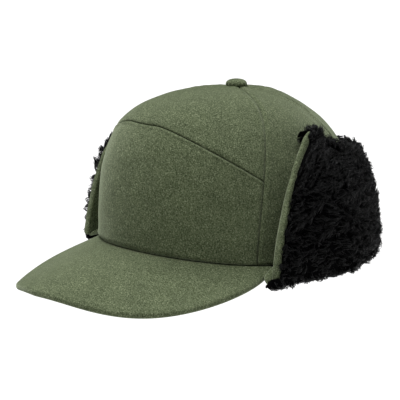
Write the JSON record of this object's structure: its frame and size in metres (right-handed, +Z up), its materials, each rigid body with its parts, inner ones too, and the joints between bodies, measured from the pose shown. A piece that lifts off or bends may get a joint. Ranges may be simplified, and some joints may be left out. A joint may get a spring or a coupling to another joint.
{
  "type": "trapper hat",
  "caption": "Wool trapper cap with a curved bill, a covered top button and a sherpa-lined ear and neck flap band that is folded up and turns down.",
  "frame": {"origin": "middle of the head opening, level with the crown's bottom edge at the sides and back", "axes": "+Z up through the crown's button, -Y forward over the bill, +X to the wearer's left"},
  "size_m": [0.2154, 0.2944, 0.1406],
  "materials": {
    "wool": "olive green heathered wool melton, matt",
    "sherpa": "black curly sherpa pile",
    "lining": "smooth black woven lining",
    "sweatband": "black cotton twill",
    "buckram": "stiffened open weave",
    "board": "flexible bill board",
    "steel": "pressed steel"
  },
  "bodies": {
    "crown": {"front_panel": "wool", "top_panel": "wool", "side_panel_left": "wool", "side_panel_right": "wool", "back_panel_left": "wool", "back_panel_right": "wool", "front_buckram": "buckram", "lining_front": "lining", "lining_left": "lining", "lining_right": "lining", "lining_back": "lining", "sweatband": "sweatband", "bill_top_cover": "wool", "bill_board": "board", "bill_bottom_cover": "wool", "button_cover": "wool", "button_shell": "steel", "button_prong": "steel"},
    "flap_ear_left": {"ear_left_wool": "wool", "ear_left_sherpa": "sherpa", "ear_left_facing": "wool"},
    "flap_rear_left": {"rear_left_wool": "wool", "rear_left_sherpa": "sherpa"},
    "flap_nape_left": {"nape_left_wool": "wool", "nape_left_sherpa": "sherpa"},
    "flap_neck": {"neck_wool": "wool", "neck_sherpa": "sherpa"},
    "flap_nape_right": {"nape_right_wool": "wool", "nape_right_sherpa": "sherpa"},
    "flap_rear_right": {"rear_right_wool": "wool", "rear_right_sherpa": "sherpa"},
    "flap_ear_right": {"ear_right_wool": "wool", "ear_right_sherpa": "sherpa", "ear_right_facing": "wool"}
  },
  "joints": [
    {"name": "fold_ear_left", "type": "hinge", "parent": "crown", "child": "flap_ear_left", "pos_m": [0.0985, 0, -0.004], "axis": [0, 1, 0], "range_deg": [0, 185]},
    {"name": "fold_rear_left", "type": "hinge", "parent": "crown", "child": "flap_rear_left", "pos_m": [0.08233, 0.04753, -0.004], "axis": [-0.5, 0.866, 0], "range_deg": [0, 198]},
    {"name": "fold_nape_left", "type": "hinge", "parent": "crown", "child": "flap_nape_left", "pos_m": [0.04988, 0.08639, -0.004], "axis": [-0.866, 0.5, 0], "range_deg": [0, 198]},
    {"name": "fold_neck", "type": "hinge", "parent": "crown", "child": "flap_neck", "pos_m": [0, 0.10211, -0.004], "axis": [-1, 0, 0], "range_deg": [0, 198]},
    {"name": "fold_nape_right", "type": "hinge", "parent": "crown", "child": "flap_nape_right", "pos_m": [-0.04988, 0.08639, -0.004], "axis": [-0.866, -0.5, 0], "range_deg": [0, 198]},
    {"name": "fold_rear_right", "type": "hinge", "parent": "crown", "child": "flap_rear_right", "pos_m": [-0.08233, 0.04753, -0.004], "axis": [-0.5, -0.866, 0], "range_deg": [0, 198]},
    {"name": "fold_ear_right", "type": "hinge", "parent": "crown", "child": "flap_ear_right", "pos_m": [-0.0985, 0, -0.004], "axis": [0, -1, 0], "range_deg": [0, 185]}
  ],
  "couplings": [
    {"joint": "fold_ear_left", "follows": "fold_neck", "ratio": 0.93434},
    {"joint": "fold_rear_left", "follows": "fold_neck", "ratio": 1},
    {"joint": "fold_nape_left", "follows": "fold_neck", "ratio": 1},
    {"joint": "fold_nape_right", "follows": "fold_neck", "ratio": 1},
    {"joint": "fold_rear_right", "follows": "fold_neck", "ratio": 1},
    {"joint": "fold_ear_right", "follows": "fold_neck", "ratio": 0.93434}
  ]
}
